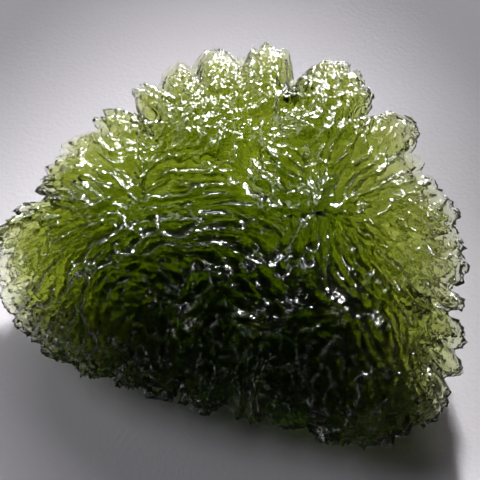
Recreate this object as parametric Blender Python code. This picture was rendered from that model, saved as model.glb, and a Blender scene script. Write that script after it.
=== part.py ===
"""A moldavite: one piece of natural green glass, a domed disc with a frilled rim.

The stone is drawn in millimetres and built in metres, +Z up. Its front is at -Y, where the flank is steep
and thick. The back rim is thin and stands highest. The stone lies on a small flat spot, which is at z = 0.
Bearings are degrees in the plan, counted from +X towards +Y.
"""

import math

import bmesh
import bpy
import numpy as np
from mathutils import Vector, noise

NAME = "moldavite"
MM = 0.001

# How far the lobes reach from the middle, in millimetres, at every 15 degrees of bearing from +X.
REACH = (19.8, 18.7, 18.8, 18.4, 19.6, 19.4, 18.3, 18.4, 17.0, 17.0, 18.2, 18.7,
         21.2, 21.7, 20.7, 18.9, 17.2, 16.9, 17.8, 19.4, 23.2, 24.9, 23.2, 20.9)
CREST_HEIGHT = 10.7

# Values at every 45 degrees of bearing, from +X: how high the rim stands, half its thickness, how square the
# dome is and how the underside rises. A low dome number is a gentle slope and a high one a flat top with a
# steep flank. A low keel number lifts the underside close to the flat spot and a high one only near the rim.
# The tilt lowers the front of the dome and raises its back.
RIM_HEIGHT = (7.1, 8.3, 8.8, 7.4, 4.9, 4.0, 3.7, 4.4)
RIM_HALF = (0.70, 0.70, 0.70, 0.75, 1.00, 1.50, 1.60, 1.20)
DOME_POWER = (2.6, 3.2, 3.6, 3.2, 2.6, 3.0, 3.4, 3.1)
DOME_TILT = 0.12
KEEL_POWER = (0.72, 0.45, 0.38, 0.45, 0.72, 1.3, 1.6, 1.3)

# The notches between the lobes of the rim: bearing, depth and half width at the rim.
NOTCHES = (
    (17.0, 1.2, 0.8), (24.0, 1.0, 0.7), (42.0, 1.8, 0.9), (69.5, 3.9, 1.2), (89.0, 1.0, 1.0),
    (104.0, 1.5, 0.8), (116.5, 1.4, 0.7), (128.5, 2.6, 0.7), (144.0, 0.8, 0.8), (168.0, 1.7, 0.8),
    (174.0, 0.5, 0.7),
    (221.5, 0.5, 0.8), (231.5, 1.0, 0.8), (240.5, 0.9, 0.7), (252.0, 1.1, 0.7),
    (267.0, 1.1, 0.9), (278.0, 0.6, 0.7), (288.0, 0.5, 0.7), (309.0, 0.6, 0.8), (321.5, 1.2, 0.7),
    (328.0, 1.2, 0.7), (335.5, 1.9, 0.8), (342.5, 1.2, 0.9),
)
NOTCH_START = 0.55
NOTCH_GROOVE = 0.5

# The folds fan out from a short spine along the top.
SPINE_HALF = 8.0
SPINE_Y = -1.5
FAN_WEIGHT = 0.45
FAN_FULL = 4.0

# Where the folds leave the fan: a place, the bearing they run along there, and how far that holds.
GUIDES = (
    (-2.5, 0.5, 0.0, 3.5), (-4.5, -3.0, 0.0, 3.0), (0.0, -3.0, -12.0, 2.5), (-5.0, 2.5, 12.0, 2.5),
    (4.5, 4.0, -34.0, 2.5), (7.5, 5.5, 45.0, 2.5), (-9.5, -6.5, 25.0, 2.5), (-7.0, -8.5, -45.0, 2.5),
    (-1.0, -8.5, 0.0, 2.0), (1.5, -10.0, -64.0, 2.0), (-3.5, -9.8, 55.0, 2.0), (-4.5, -11.5, 0.0, 2.2),
    (1.0, -12.0, 0.0, 2.2), (8.0, -12.0, 12.0, 2.5), (11.0, -9.0, -39.0, 3.0), (-16.0, -6.0, 39.0, 3.0),
)

# The folds: how far apart they are, how high they stand, and in how many steps along them their noise is
# averaged. They lean to the front, and on the flank they are spaced along the slope.
FOLD_PITCH = 2.0
FOLD_HEIGHT = 0.95
FOLD_STEPS = 6
FOLD_STEP = 0.5
FOLD_SEED = 7.0
LUMP_PITCH = 8.0
LUMP_HEIGHT = 0.9
UNDER_SHARE = 0.65
LEAST_ROOM = 0.55
LEAN = 0.6
UNROLL_START = 2.0
UNROLL_FULL = 10.0

# Smooth places on the top: place and radius, and how much of the folds is taken off there.
BARE = ((-8.2, -0.2, 2.2), (6.6, 0.0, 3.0), (-12.8, 1.9, 2.4), (0.6, 2.2, 2.4), (14.5, 0.5, 2.2))
BARE_SHARE = 0.75

# Ledges: the middle of the edge, its bearing, its half length and its drop. The high side is on the left.
LEDGES = (
    (-3.2, 5.6, -26.0, 4.0, 0.9), (8.0, 6.5, 10.0, 3.0, 0.7), (8.6, 0.4, 90.0, 2.4, 0.9),
    (-7.0, -5.5, 8.0, 5.0, 0.8), (2.4, -3.9, -16.0, 2.6, 0.6), (7.3, -3.6, 28.0, 2.4, 0.7),
    (3.2, -0.4, 0.0, 1.3, 0.7), (-12.5, 3.6, 168.0, 3.2, 0.8), (-15.5, -3.2, 24.0, 4.0, 0.7),
    (-11.0, -6.6, 33.0, 4.2, 0.9), (-1.6, -8.2, 4.0, 2.4, 0.9), (-5.6, -11.2, -8.0, 4.2, 0.8),
    (6.5, -8.6, 12.0, 2.8, 0.8), (10.6, -11.6, -22.0, 3.2, 0.8), (4.0, -12.4, 6.0, 3.0, 0.8),
    (-11.4, -9.6, 20.0, 2.8, 0.8),
)
LEDGE_SHARPNESS = 0.45
LEDGE_REACH = 4.0

# Round pits in the top: place, radius and depth.
PITS = (
    (12.2, -6.6, 1.3, 0.6), (-6.2, -7.0, 1.2, 0.5), (-1.5, -9.6, 1.3, 0.6), (10.9, -11.0, 1.2, 0.5),
    (-9.6, 3.6, 1.3, 0.5), (2.4, 8.4, 1.2, 0.5), (5.8, 9.6, 1.3, 0.6), (-2.0, 10.6, 1.2, 0.5),
)

# The flat spot it rests on lies below its centre of gravity. The underside comes down to it over a short
# ramp, where the relief dies out.
REST_MIDDLE = (1.0, -4.8)
REST_RADIUS = 3.6
REST_RAMP = 1.3
REST_FADE = 0.6

# The mesh.
GRID = 60
TRIANGLE_SHARE = 0.225


def clear_scene():
    for item in list(bpy.data.objects):
        bpy.data.objects.remove(item, do_unlink=True)


def smooth(low, high, value):
    t = np.clip((value - low) / (high - low), 0.0, 1.0)
    return t * t * (3.0 - 2.0 * t)


def around(values, bearing):
    """A smooth closed curve through values that are evenly spaced in bearing."""
    table = np.asarray(values, dtype=float)
    place = np.mod(bearing, 360.0) / 360.0 * len(table)
    index = np.floor(place).astype(int)
    f = place - index
    a, b, c, d = (table[(index + k) % len(table)] for k in (-1, 0, 1, 2))
    return 0.5 * (2.0 * b + (c - a) * f + (2.0 * a - 5.0 * b + 4.0 * c - d) * f ** 2
                  + (3.0 * b - a - 3.0 * c + d) * f ** 3)


def notch_cut(bearing, reach):
    """How far the notches cut into the rim at a bearing."""
    cut = np.zeros_like(bearing)
    for where, depth, half in NOTCHES:
        turn = np.abs(np.mod(bearing - where + 180.0, 360.0) - 180.0)
        away = np.radians(turn) * reach
        cut += depth * np.exp(-(away / half) ** 1.4)
    return cut


def smooth_stone(direction):
    """The stone without its relief: each direction from its middle gives one point of the surface.

    It also gives the depth of the grooves behind the notches, and the room for relief at each point.
    """
    x, y, z = direction.T
    bearing = np.degrees(np.arctan2(y, x))
    share = np.sqrt(np.clip(1.0 - z ** 2, 0.0, 1.0)) ** 0.8
    reach = around(REACH, bearing)
    cut = notch_cut(bearing, reach)
    outward = (reach - cut * smooth(NOTCH_START, 1.0, share)) * share
    rim = around(RIM_HEIGHT, bearing)
    edge = around(RIM_HALF, bearing) * np.sqrt(1.0 - share ** 6)
    top = rim + (CREST_HEIGHT - rim) * (1.0 - share ** around(DOME_POWER, bearing)) + edge
    under = rim * share ** around(KEEL_POWER, bearing) - edge
    flat_x, flat_y = outward * np.cos(np.radians(bearing)), outward * np.sin(np.radians(bearing))
    from_rest = np.hypot(flat_x - REST_MIDDLE[0], flat_y - REST_MIDDLE[1])
    under = np.maximum(under, 0.0) * smooth(REST_RADIUS, REST_RAMP * REST_RADIUS, from_rest)
    top += DOME_TILT * flat_y * (1.0 - share ** 2)
    place = np.stack([flat_x, flat_y, np.where(z > 0.0, top, under)], axis=1)
    groove = NOTCH_GROOVE * cut * smooth(NOTCH_START, 0.95, share)
    return place, groove, 0.5 * (top - under)


def fold_direction(x, y):
    """The way the folds run, as a unit vector. Doubled angles blend directions whatever their sign."""
    out_x = x - np.clip(x, -SPINE_HALF, SPINE_HALF)
    out_y = y - SPINE_Y
    away = np.hypot(out_x, out_y)
    weight = FAN_WEIGHT * smooth(0.0, FAN_FULL, away)
    turn = 2.0 * np.arctan2(out_y, out_x)
    across = weight * np.cos(turn) + 0.01
    along = weight * np.sin(turn)
    for gx, gy, bearing, radius in GUIDES:
        pull = np.exp(-((x - gx) ** 2 + (y - gy) ** 2) / radius ** 2)
        across += pull * math.cos(math.radians(2.0 * bearing))
        along += pull * math.sin(math.radians(2.0 * bearing))
    angle = 0.5 * np.arctan2(along, across)
    return np.cos(angle), np.sin(angle)


def drawn_noise(x, y, layer, pitch, seed):
    """Noise averaged along the folds through each point, scaled to a spread of 1."""
    total = np.zeros_like(x)
    for way in (1.0, -1.0):
        px, py = x.copy(), y.copy()
        old_x, old_y = fold_direction(px, py)
        old_x, old_y = old_x * way, old_y * way
        for step in range(FOLD_STEPS):
            total += [noise.noise((a, b, c)) for a, b, c in zip(px / pitch, py / pitch, layer + seed)]
            dx, dy = fold_direction(px, py)
            turn_back = np.where(dx * old_x + dy * old_y < 0.0, -1.0, 1.0)
            old_x, old_y = dx * turn_back, dy * turn_back
            px += old_x * FOLD_STEP * pitch
            py += old_y * FOLD_STEP * pitch
    return total / total.std()


def ledge_rise(x, y):
    """The step up behind each ledge, which dies out away from its edge."""
    rise = np.zeros_like(x)
    for lx, ly, bearing, half, drop in LEDGES:
        c, s = math.cos(math.radians(bearing)), math.sin(math.radians(bearing))
        along = (x - lx) * c + (y - ly) * s
        left = (y - ly) * c - (x - lx) * s
        step = 0.5 + 0.5 * np.tanh(left / LEDGE_SHARPNESS)
        rise += drop * step * np.exp(-(along / half) ** 4 - np.maximum(left, 0.0) / LEDGE_REACH)
    return rise


def pit_depth(x, y):
    depth = np.zeros_like(x)
    for px, py, radius, deep in PITS:
        depth += deep * np.clip(1.0 - ((x - px) ** 2 + (y - py) ** 2) / radius ** 2, 0.0, 1.0)
    return depth


def unrolled(place):
    """The plan of the stone with its flank laid out flat, so that steep parts don't draw folds out."""
    x, y, z = place.T
    out = np.hypot(x, y)
    rim = around(RIM_HEIGHT, np.degrees(np.arctan2(y, x)))
    drop = (CREST_HEIGHT - np.maximum(z, rim)) * smooth(UNROLL_START, UNROLL_FULL, out)
    stretch = 1.0 + drop / np.maximum(out, UNROLL_START)
    return x * stretch, y * stretch


def sharp_crests(value):
    """Crests at 1 where the noise crosses zero, and rounded valleys near 0 between them."""
    return (1.0 - np.minimum(1.0, np.abs(value) / 1.6)) ** 1.5


def bareness(x, y):
    """1 in the smooth places and 0 away from them."""
    folded = np.ones_like(x)
    for bx, by, radius in BARE:
        folded *= 1.0 - np.exp(-(((x - bx) ** 2 + (y - by) ** 2) / radius ** 2) ** 2)
    return 1.0 - folded


def relief(place, groove, room, top, layer):
    """How far each point moves along its normal. Valleys never eat through the thin rim."""
    x, y = place[:, 0], place[:, 1]
    fold_x, fold_y = unrolled(place)
    crest = sharp_crests(drawn_noise(fold_x, fold_y, layer, FOLD_PITCH, FOLD_SEED))
    fade = 1.0 - BARE_SHARE * bareness(x, y) * top
    lump = np.array([noise.noise(Vector(p / LUMP_PITCH)) for p in place])
    move = FOLD_HEIGHT * (crest - 0.5) * fade + LUMP_HEIGHT * lump - groove
    move += np.where(top, ledge_rise(x, y) - pit_depth(x, y), 0.0)
    move *= np.where(top, 1.0, UNDER_SHARE)
    return np.maximum(move, -LEAST_ROOM * room)


def lean_way(x, y):
    """The way the folds lean: across themselves and to the front, less where they run from front to back."""
    dx, dy = fold_direction(x, y)
    return np.stack([dy * dx, -dx * dx, np.zeros_like(dx)], axis=1)


def cube_ball(count):
    """A cube divided evenly and blown up to a ball of radius 1."""
    mesh = bmesh.new()
    bmesh.ops.create_cube(mesh, size=2.0)
    bmesh.ops.subdivide_edges(mesh, edges=mesh.edges[:], cuts=count - 1, use_grid_fill=True)
    for vertex in mesh.verts:
        spread = Vector([math.tan(c * math.pi / 4.0) for c in vertex.co])
        vertex.co = spread.normalized()
    return mesh


def set_places(mesh, places):
    for vertex, place in zip(mesh.verts, places):
        vertex.co = place
    mesh.normal_update()


def shape_stone(mesh):
    direction = np.array([v.co[:] for v in mesh.verts])
    top = direction[:, 2] > 0.0
    layer = 2.0 * np.tanh(4.0 * direction[:, 2])
    place, groove, room = smooth_stone(direction)
    set_places(mesh, place)
    normal = np.array([v.normal[:] for v in mesh.verts])
    settled = np.where(top, 1.0, smooth(0.0, REST_FADE, place[:, 2]))
    move = relief(place, groove, room, top, layer) * settled
    place += normal * move[:, None] + lean_way(place[:, 0], place[:, 1]) * (LEAN * move * top)[:, None]
    place[:, 2] = np.maximum(place[:, 2], 0.0)
    place[:, :2] -= 0.5 * (place[:, :2].min(axis=0) + place[:, :2].max(axis=0))
    set_places(mesh, place * MM)


def build_stone(collection):
    mesh = cube_ball(GRID)
    shape_stone(mesh)
    bmesh.ops.triangulate(mesh, faces=mesh.faces[:])
    data = bpy.data.meshes.new(NAME)
    mesh.to_mesh(data)
    mesh.free()
    stone = bpy.data.objects.new(NAME, data)
    collection.objects.link(stone)
    fewer = stone.modifiers.new("fewer faces", "DECIMATE")
    fewer.ratio = TRIANGLE_SHARE
    fewer.use_collapse_triangulate = True
    return stone


def glass():
    material = bpy.data.materials.new("green glass")
    material.use_nodes = True
    shader = material.node_tree.nodes["Principled BSDF"]
    shader.inputs["Base Color"].default_value = (0.14, 0.19, 0.02, 1.0)
    shader.inputs["Roughness"].default_value = 0.08
    shader.inputs["Metallic"].default_value = 0.0
    shader.inputs["IOR"].default_value = 1.49
    return material


def main():
    clear_scene()
    collection = bpy.data.collections.new(NAME)
    bpy.context.scene.collection.children.link(collection)
    stone = build_stone(collection)
    stone.data.materials.append(glass())


main()
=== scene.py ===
"""The moldavite as it is seen: the solid's domed disc with its fine grooves, in see-through green glass.

Lengths in the shape are millimetres. The front is at -Y, and bearings are degrees from +X towards +Y.
"""

import math

import bmesh
import bpy
import numpy as np
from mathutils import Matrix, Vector, noise


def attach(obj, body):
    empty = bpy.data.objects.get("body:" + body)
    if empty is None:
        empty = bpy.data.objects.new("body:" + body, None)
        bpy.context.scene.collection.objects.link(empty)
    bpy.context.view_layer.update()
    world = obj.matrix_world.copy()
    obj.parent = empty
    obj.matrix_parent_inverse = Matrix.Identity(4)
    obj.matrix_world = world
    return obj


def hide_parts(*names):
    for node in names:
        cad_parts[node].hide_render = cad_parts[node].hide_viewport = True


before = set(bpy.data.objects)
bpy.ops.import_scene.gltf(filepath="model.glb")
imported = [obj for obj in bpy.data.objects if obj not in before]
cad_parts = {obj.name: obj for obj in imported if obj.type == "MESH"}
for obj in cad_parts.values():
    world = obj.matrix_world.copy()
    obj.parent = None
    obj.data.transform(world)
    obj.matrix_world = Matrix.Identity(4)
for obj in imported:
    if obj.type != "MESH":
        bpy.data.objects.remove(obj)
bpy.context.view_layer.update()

NODE = "moldavite"
MM = 0.001

# The form is the solid's, in the values from here to the flat spot. Only LEAN is larger than in the solid.

# How far the lobes reach from the middle, at every 15 degrees of bearing from +X.
REACH = (19.8, 18.7, 18.8, 18.4, 19.6, 19.4, 18.3, 18.4, 17.0, 17.0, 18.2, 18.7,
         21.2, 21.7, 20.7, 18.9, 17.2, 16.9, 17.8, 19.4, 23.2, 24.9, 23.2, 20.9)
CREST_HEIGHT = 10.7

# Values at every 45 degrees of bearing, from +X: how high the rim stands, half its thickness, how square the
# dome is and how the underside rises. A low dome number is a gentle slope and a high one a flat top with a
# steep flank. A low keel number lifts the underside close to the flat spot and a high one only near the rim.
# The tilt lowers the front of the dome and raises its back.
RIM_HEIGHT = (7.1, 8.3, 8.8, 7.4, 4.9, 4.0, 3.7, 4.4)
RIM_HALF = (0.70, 0.70, 0.70, 0.75, 1.00, 1.50, 1.60, 1.20)
DOME_POWER = (2.6, 3.2, 3.6, 3.2, 2.6, 3.0, 3.4, 3.1)
DOME_TILT = 0.12
KEEL_POWER = (0.72, 0.45, 0.38, 0.45, 0.72, 1.3, 1.6, 1.3)
RIM_BLUNTNESS = 6

# The notches between the lobes of the rim: bearing, depth and half width at the rim.
NOTCHES = (
    (17.0, 1.2, 0.8), (24.0, 1.0, 0.7), (42.0, 1.8, 0.9), (69.5, 3.9, 1.2), (89.0, 1.0, 1.0),
    (104.0, 1.5, 0.8), (116.5, 1.4, 0.7), (128.5, 2.6, 0.7), (144.0, 0.8, 0.8), (168.0, 1.7, 0.8),
    (174.0, 0.5, 0.7),
    (221.5, 0.5, 0.8), (231.5, 1.0, 0.8), (240.5, 0.9, 0.7), (252.0, 1.1, 0.7),
    (267.0, 1.1, 0.9), (278.0, 0.6, 0.7), (288.0, 0.5, 0.7), (309.0, 0.6, 0.8), (321.5, 1.2, 0.7),
    (328.0, 1.2, 0.7), (335.5, 1.9, 0.8), (342.5, 1.2, 0.9),
)

# How pointed the notches are, and at which share of the reach they start. A part of their depth is also cut
# down into the stone behind them, in full from NOTCH_FULL on.
NOTCH_POWER = 1.4
NOTCH_START = 0.55
NOTCH_FULL = 0.95
NOTCH_GROOVE = 0.5

# The folds fan out from a short spine along the top, and a slight pull keeps them in line with it there.
SPINE_HALF = 8.0
SPINE_Y = -1.5
SPINE_PULL = 0.01
FAN_WEIGHT = 0.45
FAN_FULL = 4.0

# Where the folds leave the fan: a place, the bearing they run along there, and how far that holds.
GUIDES = (
    (-2.5, 0.5, 0.0, 3.5), (-4.5, -3.0, 0.0, 3.0), (0.0, -3.0, -12.0, 2.5), (-5.0, 2.5, 12.0, 2.5),
    (4.5, 4.0, -34.0, 2.5), (7.5, 5.5, 45.0, 2.5), (-9.5, -6.5, 25.0, 2.5), (-7.0, -8.5, -45.0, 2.5),
    (-1.0, -8.5, 0.0, 2.0), (1.5, -10.0, -64.0, 2.0), (-3.5, -9.8, 55.0, 2.0), (-4.5, -11.5, 0.0, 2.2),
    (1.0, -12.0, 0.0, 2.2), (8.0, -12.0, 12.0, 2.5), (11.0, -9.0, -39.0, 3.0), (-16.0, -6.0, 39.0, 3.0),
)

# The folds: how far apart they are, how high they stand, what part of that lies within the form, and in how
# many steps along them their noise is averaged. Crests have a spread in that noise and a sharpness. Folds
# lean to the front, and on the flank they are spaced along the slope.
FOLD_PITCH = 2.0
FOLD_HEIGHT = 0.95
FOLD_LEVEL = 0.5
FOLD_STEPS = 6
FOLD_STEP = 0.5
FOLD_SEED = 7.0
CREST_SPREAD = 1.6
CREST_POWER = 1.5
LUMP_PITCH = 8.0
LUMP_HEIGHT = 0.9
UNDER_SHARE = 0.65
LEAST_ROOM = 0.55
LEAN = 0.75
UNROLL_START = 2.0
UNROLL_FULL = 10.0

# The noise of the top lies this far above a middle layer, and that of the underside as far below it. The
# second value says how quickly one turns into the other at the rim.
LAYER_HALF = 2.0
LAYER_TURN = 4.0

# Smooth places on the top: place and radius, and how much of the folds is taken off there.
BARE = ((-8.2, -0.2, 2.2), (6.6, 0.0, 3.0), (-12.8, 1.9, 2.4), (0.6, 2.2, 2.4), (14.5, 0.5, 2.2))
BARE_SHARE = 0.75

# Ledges: the middle of the edge, its bearing, its half length and its drop. The high side is on the left.
LEDGES = (
    (-3.2, 5.6, -26.0, 4.0, 0.9), (8.0, 6.5, 10.0, 3.0, 0.7), (8.6, 0.4, 90.0, 2.4, 0.9),
    (-7.0, -5.5, 8.0, 5.0, 0.8), (2.4, -3.9, -16.0, 2.6, 0.6), (7.3, -3.6, 28.0, 2.4, 0.7),
    (3.2, -0.4, 0.0, 1.3, 0.7), (-12.5, 3.6, 168.0, 3.2, 0.8), (-15.5, -3.2, 24.0, 4.0, 0.7),
    (-11.0, -6.6, 33.0, 4.2, 0.9), (-1.6, -8.2, 4.0, 2.4, 0.9), (-5.6, -11.2, -8.0, 4.2, 0.8),
    (6.5, -8.6, 12.0, 2.8, 0.8), (10.6, -11.6, -22.0, 3.2, 0.8), (4.0, -12.4, 6.0, 3.0, 0.8),
    (-11.4, -9.6, 20.0, 2.8, 0.8),
)
LEDGE_SHARPNESS = 0.45
LEDGE_REACH = 4.0
LEDGE_SQUARENESS = 4

# Round pits in the top: place, radius and depth.
PITS = (
    (12.2, -6.6, 1.3, 0.6), (-6.2, -7.0, 1.2, 0.5), (-1.5, -9.6, 1.3, 0.6), (10.9, -11.0, 1.2, 0.5),
    (-9.6, 3.6, 1.3, 0.5), (2.4, 8.4, 1.2, 0.5), (5.8, 9.6, 1.3, 0.6), (-2.0, 10.6, 1.2, 0.5),
)

# The flat spot that the stone rests on. The underside comes down to it over a short ramp, where the relief
# dies out.
REST_MIDDLE = (1.0, -4.8)
REST_RADIUS = 3.6
REST_RAMP = 1.3
REST_FADE = 0.6

# The grooves that only the visible mesh has: pitch, height at the back, height at the front, seed and steps
# along the flow. The back turns into the front between the two values of y in CALM_BACK. The folds and the
# coarser grooves are calmer at the back, and the finest are only there, where many small faces mirror the
# window. GROOVE_LEVEL is the part of a crest that lies within the form. Grooves die out at the thin rim and
# fade in the smooth places.
GROOVES = (
    (1.15, 0.25, 1.5, 21.0, 3),
    (0.62, 0.26, 0.5, 33.0, 2),
    (0.40, 0.18, 0.0, 45.0, 1),
)
BACK_FOLDS = 0.35
CALM_BACK = (7.0, 2.0)
GROOVE_LEVEL = 0.7
GROOVE_START = 0.25
GROOVE_BARE_SHARE = 0.35

# The fine teeth of the rim: pitch, depth and seed of each size. They are noise times a gain, less a level, so
# that some stand out of the outline. They start and are full at two shares of the reach.
TEETH = ((1.5, 0.4, 41.0), (0.7, 0.35, 53.0))
TEETH_GAIN = 2.0
TEETH_LEVEL = 0.4
TEETH_START = 0.8
TEETH_FULL = 0.97

# The finest striations are bump: how far apart they are, in what steps along the flow and how many each way
# their noise is averaged, how high they stand, and how much of them is taken off in the smooth places. Where
# the surface is too steep for the flow to run along it, the flow stays short of full length.
STREAK_PITCH = 0.42
STREAK_STEP = 0.35
STREAK_STEPS = 2
STREAK_HEIGHT = 0.08
STREAK_DETAIL = 1.0
STREAK_CALM = 0.8
LEAST_FLOW = 0.05

# The mesh is denser on the top than below, and denser towards the rim.
GRID = 128
TOP_BIAS = 0.75
RIM_BIAS = 0.8

# The glass: its surface, and the absorption in its depth, with a density that counts by the metre.
GLASS_SURFACE = {
    "Base Color": (1.0, 1.0, 1.0, 1.0),
    "Roughness": 0.19,
    "IOR": 1.49,
    "Transmission Weight": 1.0,
    "Coat Weight": 0.6,
    "Coat Roughness": 0.03,
}
GLASS_DEPTH = {"Color": (0.65, 0.717, 0.0, 1.0), "Density": 780.0}

# The floor: its size in metres, how far it lies below the stone, and its matt surface with a fine grain.
FLOOR_SIZE = 2.0
FLOOR_DROP = 0.05
FLOOR_SURFACE = {"Base Color": (0.72, 0.69, 0.73, 1.0), "Roughness": 0.9, "Specular IOR Level": 0.2}
FLOOR_GRAIN = {"Scale": 1.0 / (0.4 * MM), "Detail": 3.0}
FLOOR_BUMP = {"Distance": 0.06 * MM, "Strength": 0.5}

# The lights. Azimuth 0 is behind the stone, seen from the front, and angles are in degrees. Distances and
# sizes are in metres: the width and height of a panel, or the radius of a lamp with a cone. An aim is in
# millimetres.
LIGHTS = {
    "window": dict(elevation=28.0, azimuth=-4.0, distance=0.6, size=(0.55, 0.06), energy=1.9,
                   colour=(1.0, 0.98, 1.0)),
    "room": dict(elevation=32.0, azimuth=-72.0, distance=0.8, size=(0.5, 0.5), energy=2.2,
                 colour=(0.95, 0.97, 1.0)),
    "lamp": dict(elevation=27.0, azimuth=8.0, distance=0.22, size=0.012, energy=5.8,
                 colour=(1.0, 1.0, 1.0), cone=18.4, aim=(-12.0, -70.0, 0.0)),
}
LAMP_BLEND = 0.2
SURROUNDINGS = {"Color": (0.9, 0.88, 0.95, 1.0), "Strength": 0.02}

# How often light may bounce: enough to pass through many folds of glass.
GLASS_BOUNCES = 24
GLOSSY_BOUNCES = 8
DIFFUSE_BOUNCES = 4

# The photograph's view, in degrees and millimetres.
VIEW_ELEVATION = 58.0
VIEW_DISTANCE = 165.0
VIEW_TARGET = (1.07, -0.10, 6.0)
VIEW_WIDTH = 43.0
SENSOR = 36.0
NEAREST = 1.0


def smooth(low, high, value):
    """A smooth step from 0 at the low value to 1 at the high one, which may be the smaller of the two."""
    t = np.clip((value - low) / (high - low), 0.0, 1.0)
    return t * t * (3.0 - 2.0 * t)


def around(values, bearing):
    """A smooth closed curve through values that are evenly spaced in bearing."""
    table = np.asarray(values, dtype=float)
    place = np.mod(bearing, 360.0) / 360.0 * len(table)
    index = np.floor(place).astype(int)
    f = place - index
    a, b, c, d = (table[(index + k) % len(table)] for k in (-1, 0, 1, 2))
    return 0.5 * (2.0 * b + (c - a) * f + (2.0 * a - 5.0 * b + 4.0 * c - d) * f ** 2
                  + (3.0 * b - a - 3.0 * c + d) * f ** 3)


def notch_cut(bearing, reach):
    """How far the notches cut the outline back."""
    cut = np.zeros_like(bearing)
    for where, depth, half in NOTCHES:
        turn = np.abs(np.mod(bearing - where + 180.0, 360.0) - 180.0)
        away = np.radians(turn) * reach
        cut += depth * np.exp(-(away / half) ** NOTCH_POWER)
    return cut


def tooth_cut(bearing, reach):
    """How far the teeth cut the outline back. Their noise is taken on a circle, so that it closes."""
    cut = np.zeros_like(bearing)
    for pitch, depth, seed in TEETH:
        ring_x, ring_y = (reach / pitch * wave(np.radians(bearing)) for wave in (np.cos, np.sin))
        grain = np.abs([noise.noise((a, b, seed)) for a, b in zip(ring_x, ring_y)])
        cut += depth * (TEETH_GAIN * grain - TEETH_LEVEL)
    return cut


def smooth_stone(direction):
    """The stone without its relief, with the grooves behind its notches and the room for relief."""
    x, y, z = direction.T
    bearing = np.degrees(np.arctan2(y, x))
    share = np.sqrt(np.clip(1.0 - z ** 2, 0.0, 1.0)) ** RIM_BIAS
    reach = around(REACH, bearing)
    cut = notch_cut(bearing, reach)
    teeth = tooth_cut(bearing, reach)
    notched = cut * smooth(NOTCH_START, 1.0, share) + teeth * smooth(TEETH_START, 1.0, share)
    outward = (reach - notched) * share
    rim = around(RIM_HEIGHT, bearing)
    edge = around(RIM_HALF, bearing) * np.sqrt(1.0 - share ** RIM_BLUNTNESS)
    top = rim + (CREST_HEIGHT - rim) * (1.0 - share ** around(DOME_POWER, bearing)) + edge
    under = rim * share ** around(KEEL_POWER, bearing) - edge
    flat_x, flat_y = outward * np.cos(np.radians(bearing)), outward * np.sin(np.radians(bearing))
    from_rest = np.hypot(flat_x - REST_MIDDLE[0], flat_y - REST_MIDDLE[1])
    under = np.maximum(under, 0.0) * smooth(REST_RADIUS, REST_RAMP * REST_RADIUS, from_rest)
    top += DOME_TILT * flat_y * (1.0 - share ** 2)
    place = np.stack([flat_x, flat_y, np.where(z > 0.0, top, under)], axis=1)
    groove = cut * smooth(NOTCH_START, NOTCH_FULL, share) + teeth * smooth(TEETH_START, TEETH_FULL, share)
    groove *= NOTCH_GROOVE
    return place, groove, 0.5 * (top - under)


def fold_direction(x, y):
    """The way the folds run, as a unit vector. Doubled angles blend directions whatever their sign."""
    out_x = x - np.clip(x, -SPINE_HALF, SPINE_HALF)
    out_y = y - SPINE_Y
    away = np.hypot(out_x, out_y)
    weight = FAN_WEIGHT * smooth(0.0, FAN_FULL, away)
    turn = 2.0 * np.arctan2(out_y, out_x)
    across = weight * np.cos(turn) + SPINE_PULL
    along = weight * np.sin(turn)
    for gx, gy, bearing, radius in GUIDES:
        pull = np.exp(-((x - gx) ** 2 + (y - gy) ** 2) / radius ** 2)
        across += pull * math.cos(math.radians(2.0 * bearing))
        along += pull * math.sin(math.radians(2.0 * bearing))
    angle = 0.5 * np.arctan2(along, across)
    return np.cos(angle), np.sin(angle)


def drawn_noise(x, y, layer, pitch, seed, steps=FOLD_STEPS):
    """Noise averaged along the folds through each point, scaled to a spread of 1."""
    total = np.zeros_like(x)
    for way in (1.0, -1.0):
        px, py = x.copy(), y.copy()
        old_x, old_y = fold_direction(px, py)
        old_x, old_y = old_x * way, old_y * way
        for step in range(steps):
            total += [noise.noise((a, b, c)) for a, b, c in zip(px / pitch, py / pitch, layer + seed)]
            dx, dy = fold_direction(px, py)
            turn_back = np.where(dx * old_x + dy * old_y < 0.0, -1.0, 1.0)
            old_x, old_y = dx * turn_back, dy * turn_back
            px += old_x * FOLD_STEP * pitch
            py += old_y * FOLD_STEP * pitch
    return total / total.std()


def ledge_rise(x, y):
    """How far the high sides of the ledges stand above the dome."""
    rise = np.zeros_like(x)
    for lx, ly, bearing, half, drop in LEDGES:
        c, s = math.cos(math.radians(bearing)), math.sin(math.radians(bearing))
        along = (x - lx) * c + (y - ly) * s
        left = (y - ly) * c - (x - lx) * s
        step = 0.5 + 0.5 * np.tanh(left / LEDGE_SHARPNESS)
        ends = (along / half) ** LEDGE_SQUARENESS
        rise += drop * step * np.exp(-ends - np.maximum(left, 0.0) / LEDGE_REACH)
    return rise


def pit_depth(x, y):
    depth = np.zeros_like(x)
    for px, py, radius, deep in PITS:
        depth += deep * np.clip(1.0 - ((x - px) ** 2 + (y - py) ** 2) / radius ** 2, 0.0, 1.0)
    return depth


def unrolled(place):
    """The plan of the stone with its flank laid out flat, so that steep parts don't draw folds out."""
    x, y, z = place.T
    out = np.hypot(x, y)
    rim = around(RIM_HEIGHT, np.degrees(np.arctan2(y, x)))
    drop = (CREST_HEIGHT - np.maximum(z, rim)) * smooth(UNROLL_START, UNROLL_FULL, out)
    stretch = 1.0 + drop / np.maximum(out, UNROLL_START)
    return x * stretch, y * stretch


def sharp_crests(value):
    """Crests at 1 where the noise crosses zero, and rounded valleys near 0 between them."""
    return (1.0 - np.minimum(1.0, np.abs(value) / CREST_SPREAD)) ** CREST_POWER


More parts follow.
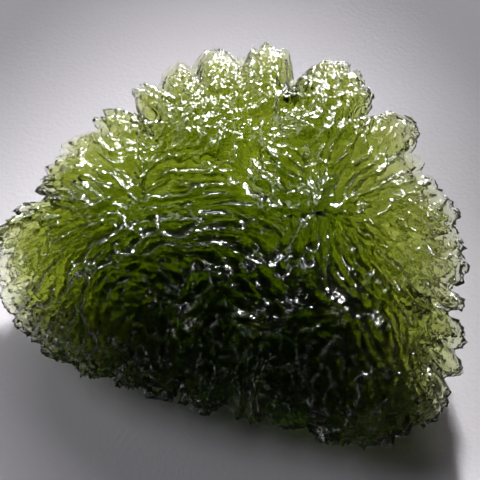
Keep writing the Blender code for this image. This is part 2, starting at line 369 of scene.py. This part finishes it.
def bareness(x, y):
    """1 in the smooth places and 0 away from them."""
    folded = np.ones_like(x)
    for bx, by, radius in BARE:
        folded *= 1.0 - np.exp(-(((x - bx) ** 2 + (y - by) ** 2) / radius ** 2) ** 2)
    return 1.0 - folded


def relief(place, groove, room, top, layer):
    """How far each point moves along its normal. Valleys never eat through the thin rim."""
    x, y = place[:, 0], place[:, 1]
    fold_x, fold_y = unrolled(place)
    fade = 1.0 - BARE_SHARE * bareness(x, y) * top
    crest = sharp_crests(drawn_noise(fold_x, fold_y, layer, FOLD_PITCH, FOLD_SEED))
    lump = np.array([noise.noise(Vector(p / LUMP_PITCH)) for p in place])
    front = smooth(*CALM_BACK, y)
    move = FOLD_HEIGHT * (BACK_FOLDS + (1.0 - BACK_FOLDS) * front) * (crest - FOLD_LEVEL) * fade
    move += LUMP_HEIGHT * lump - groove
    move += np.where(top, ledge_rise(x, y) - pit_depth(x, y), 0.0)
    groove_fade = smooth(0.0, GROOVE_START, room) * (1.0 - GROOVE_BARE_SHARE * bareness(x, y) * top)
    for pitch, back_height, front_height, seed, steps in GROOVES:
        height = back_height + (front_height - back_height) * front
        crest = sharp_crests(drawn_noise(fold_x, fold_y, layer, pitch, seed, steps))
        move += height * (crest - GROOVE_LEVEL) * groove_fade
    move *= np.where(top, 1.0, UNDER_SHARE)
    return np.maximum(move, -LEAST_ROOM * room)


def lean_way(x, y):
    """The way that the folds lean: across themselves and to the front, where they run across the stone."""
    dx, dy = fold_direction(x, y)
    return np.stack([dy * dx, -dx * dx, np.zeros_like(dx)], axis=1)


def cube_ball(count):
    """A cube divided evenly and blown up to a ball of radius 1, with most of its faces on the top."""
    mesh = bmesh.new()
    bmesh.ops.create_cube(mesh, size=2.0)
    bmesh.ops.subdivide_edges(mesh, edges=mesh.edges[:], cuts=count - 1, use_grid_fill=True)
    for vertex in mesh.verts:
        spread = Vector([math.tan(c * math.pi / 4.0) for c in vertex.co]).normalized()
        height = (math.asin(max(-1.0, min(1.0, spread.z))) / math.pi + 0.5) ** TOP_BIAS
        latitude = (height - 0.5) * math.pi
        bearing = math.atan2(spread.y, spread.x)
        vertex.co = (math.cos(latitude) * math.cos(bearing), math.cos(latitude) * math.sin(bearing),
                     math.sin(latitude))
    return mesh


def set_places(mesh, places):
    for vertex, place in zip(mesh.verts, places):
        vertex.co = place
    mesh.normal_update()


def shape_stone(mesh):
    """Shapes the ball into the stone. It gives the flow along the folds and how strong the striations are."""
    direction = np.array([v.co[:] for v in mesh.verts])
    top = direction[:, 2] > 0.0
    layer = LAYER_HALF * np.tanh(LAYER_TURN * direction[:, 2])
    place, groove, room = smooth_stone(direction)
    set_places(mesh, place)
    normal = np.array([v.normal[:] for v in mesh.verts])
    settled = np.where(top, 1.0, smooth(0.0, REST_FADE, place[:, 2]))
    move = relief(place, groove, room, top, layer) * settled
    flow_x, flow_y = fold_direction(place[:, 0], place[:, 1])
    flow = np.stack([flow_x, flow_y, np.zeros_like(flow_x)], axis=1)
    flow -= normal * (flow * normal).sum(axis=1)[:, None]
    flow /= np.maximum(np.linalg.norm(flow, axis=1), LEAST_FLOW)[:, None]
    calm = bareness(place[:, 0], place[:, 1])
    place += normal * move[:, None] + lean_way(place[:, 0], place[:, 1]) * (LEAN * move * top)[:, None]
    place[:, 2] = np.maximum(place[:, 2], 0.0)
    place[:, :2] -= 0.5 * (place[:, :2].min(axis=0) + place[:, :2].max(axis=0))
    set_places(mesh, place * MM)
    return flow, 1.0 - STREAK_CALM * calm * top


def set_inputs(node, values):
    for name, value in values.items():
        node.inputs[name].default_value = value


def new_material(name, surface):
    """A material with the values of its surface, and its node tree and surface shader."""
    material = bpy.data.materials.new(name)
    material.use_nodes = True
    tree = material.node_tree
    shader = tree.nodes["Principled BSDF"]
    set_inputs(shader, surface)
    return material, tree, shader


def glass():
    """Bottle green glass. Its colour comes from the depth of glass that the light goes through."""
    material, tree, shader = new_material("green_glass", GLASS_SURFACE)
    depth = tree.nodes.new("ShaderNodeVolumeAbsorption")
    set_inputs(depth, GLASS_DEPTH)
    tree.links.new(depth.outputs["Volume"], tree.nodes["Material Output"].inputs["Volume"])
    tree.links.new(striations(tree), shader.inputs["Normal"])
    return material


def striations(tree):
    """Fine grooves along the folds: noise averaged at a few places along the flow, as bump."""
    place = tree.nodes.new("ShaderNodeTexCoord").outputs["Object"]
    flow = tree.nodes.new("ShaderNodeAttribute")
    flow.attribute_name = "flow"
    total = None
    for step in range(-STREAK_STEPS, STREAK_STEPS + 1):
        shift = tree.nodes.new("ShaderNodeVectorMath")
        shift.operation = "MULTIPLY_ADD"
        shift.inputs[1].default_value = (step * STREAK_STEP * MM,) * 3
        tree.links.new(flow.outputs["Vector"], shift.inputs[0])
        tree.links.new(place, shift.inputs[2])
        grain = tree.nodes.new("ShaderNodeTexNoise")
        set_inputs(grain, {"Scale": 1.0 / (STREAK_PITCH * MM), "Detail": STREAK_DETAIL})
        tree.links.new(shift.outputs["Vector"], grain.inputs["Vector"])
        if total is None:
            total = grain.outputs["Fac"]
        else:
            add = tree.nodes.new("ShaderNodeMath")
            tree.links.new(total, add.inputs[0])
            tree.links.new(grain.outputs["Fac"], add.inputs[1])
            total = add.outputs["Value"]
    bump = tree.nodes.new("ShaderNodeBump")
    bump.inputs["Distance"].default_value = STREAK_HEIGHT * MM
    tree.links.new(total, bump.inputs["Height"])
    strength = tree.nodes.new("ShaderNodeAttribute")
    strength.attribute_name = "strength"
    tree.links.new(strength.outputs["Fac"], bump.inputs["Strength"])
    return bump.outputs["Normal"]


def build_stone():
    mesh = cube_ball(GRID)
    flow, strength = shape_stone(mesh)
    data = bpy.data.meshes.new("stone")
    mesh.to_mesh(data)
    mesh.free()
    data.attributes.new("flow", "FLOAT_VECTOR", "POINT").data.foreach_set("vector", flow.ravel())
    data.attributes.new("strength", "FLOAT", "POINT").data.foreach_set("value", strength)
    data.shade_smooth()
    data.materials.append(glass())
    stone = bpy.data.objects.new("stone", data)
    bpy.context.scene.collection.objects.link(stone)
    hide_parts(NODE)
    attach(stone, "root")


def floor_material():
    """A pale matt surface with a fine grain, as bump."""
    material, tree, shader = new_material("floor", FLOOR_SURFACE)
    place = tree.nodes.new("ShaderNodeTexCoord")
    grain = tree.nodes.new("ShaderNodeTexNoise")
    set_inputs(grain, FLOOR_GRAIN)
    bump = tree.nodes.new("ShaderNodeBump")
    set_inputs(bump, FLOOR_BUMP)
    tree.links.new(place.outputs["Object"], grain.inputs["Vector"])
    tree.links.new(grain.outputs["Fac"], bump.inputs["Height"])
    tree.links.new(bump.outputs["Normal"], shader.inputs["Normal"])
    return material


def build_floor():
    bpy.ops.mesh.primitive_plane_add(size=FLOOR_SIZE, location=(0.0, 0.0, -FLOOR_DROP * MM))
    floor = bpy.context.active_object
    floor.name = "floor"
    floor.data.materials.append(floor_material())


def add_light(name, elevation, azimuth, distance, size, energy, colour, cone=None, aim=(0.0, 0.0, 0.0)):
    """A soft light: a lamp if it has a cone, and else a panel."""
    e, a = math.radians(elevation), math.radians(azimuth)
    data = bpy.data.lights.new(name, "AREA" if cone is None else "SPOT")
    if cone is None:
        data.shape = "RECTANGLE"
        data.size, data.size_y = size
    else:
        data.shadow_soft_size = size
        data.spot_size = math.radians(cone)
        data.spot_blend = LAMP_BLEND
    data.energy = energy
    data.color = colour
    light = bpy.data.objects.new(name, data)
    place = Vector((math.sin(a) * math.cos(e), math.cos(a) * math.cos(e), math.sin(e))) * distance
    light.location = place
    light.rotation_euler = (Vector(aim) * MM - place).to_track_quat("-Z", "Y").to_euler()
    bpy.context.scene.collection.objects.link(light)


def light_scene():
    world = bpy.data.worlds.new("world")
    bpy.context.scene.world = world
    world.use_nodes = True
    set_inputs(world.node_tree.nodes["Background"], SURROUNDINGS)
    for name, values in LIGHTS.items():
        add_light(name, **values)


def place_camera():
    data = bpy.data.cameras.new("camera")
    data.sensor_width = SENSOR
    data.lens = SENSOR * VIEW_DISTANCE / VIEW_WIDTH
    data.clip_start = NEAREST * MM
    camera = bpy.data.objects.new("camera", data)
    e = math.radians(VIEW_ELEVATION)
    back = Vector((0.0, -math.cos(e), math.sin(e)))
    camera.location = (Vector(VIEW_TARGET) + back * VIEW_DISTANCE) * MM
    camera.rotation_euler = (math.pi / 2.0 - e, 0.0, 0.0)
    bpy.context.scene.collection.objects.link(camera)
    bpy.context.scene.camera = camera


def set_view():
    scene = bpy.context.scene
    scene.view_settings.view_transform = "Standard"
    scene.cycles.max_bounces = GLASS_BOUNCES
    scene.cycles.transmission_bounces = GLASS_BOUNCES
    scene.cycles.glossy_bounces = GLOSSY_BOUNCES
    scene.cycles.diffuse_bounces = DIFFUSE_BOUNCES


build_stone()
build_floor()
light_scene()
place_camera()
set_view()
